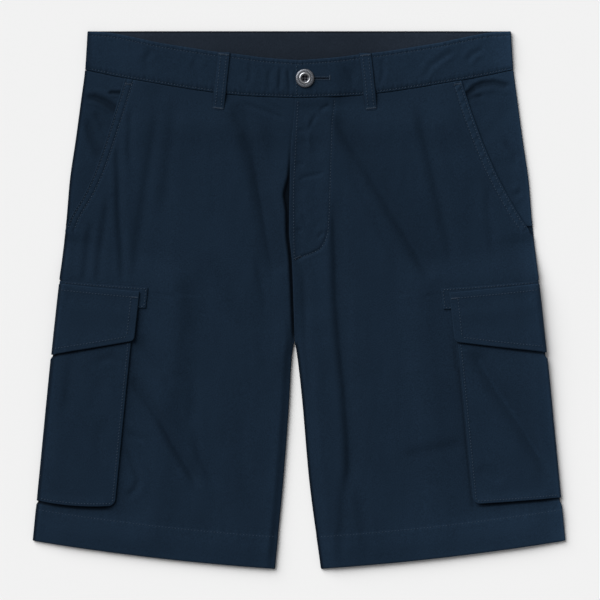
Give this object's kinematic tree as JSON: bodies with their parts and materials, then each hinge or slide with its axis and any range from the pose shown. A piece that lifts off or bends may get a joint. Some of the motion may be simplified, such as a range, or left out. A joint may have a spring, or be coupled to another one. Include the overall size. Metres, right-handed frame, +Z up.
{
  "type": "cargo shorts",
  "caption": "Cotton cargo shorts laid flat: waistband with belt loops and button, fly, slanted hip pockets, flapped side pockets that stand off the legs, and hemmed legs",
  "frame": {"origin": "on the surface that the shorts lie on, under the middle of their outline", "axes": "+X toward the wearer's left, +Y from the hems to the waist, +Z up out of the surface, through the front of the garment"},
  "size_m": [0.5484, 0.5542, 0.0135],
  "materials": {
    "navy_cloth": "brushed navy cotton twill, matt, faded a little along seams and edges",
    "cloth_inside": "wrong side of the same twill, greyer and matt",
    "sewing_thread": "navy polyester sewing thread, slightly glossy",
    "button_metal": "dull gunmetal shank button with a bright rim"
  },
  "bodies": {
    "root": {"front_leg_left": "navy_cloth", "back_leg_left": "navy_cloth", "hip_pocket_left": "navy_cloth", "cargo_pocket_left": "navy_cloth", "cargo_gusset_left": "navy_cloth", "cargo_flap_left": "navy_cloth", "flap_stay_left": "navy_cloth", "front_leg_right": "navy_cloth", "back_leg_right": "navy_cloth", "hip_pocket_right": "navy_cloth", "cargo_pocket_right": "navy_cloth", "cargo_gusset_right": "navy_cloth", "cargo_flap_right": "navy_cloth", "flap_stay_right": "navy_cloth", "waistband_front_left": "navy_cloth", "waistband_front_right": "navy_cloth", "waistband_back": "cloth_inside", "belt_loop_front_left": "navy_cloth", "belt_loop_front_right": "navy_cloth", "belt_loop_back_left": "navy_cloth", "belt_loop_back_centre": "navy_cloth", "belt_loop_back_right": "navy_cloth", "waist_button": "button_metal"}
  },
  "joints": []
}
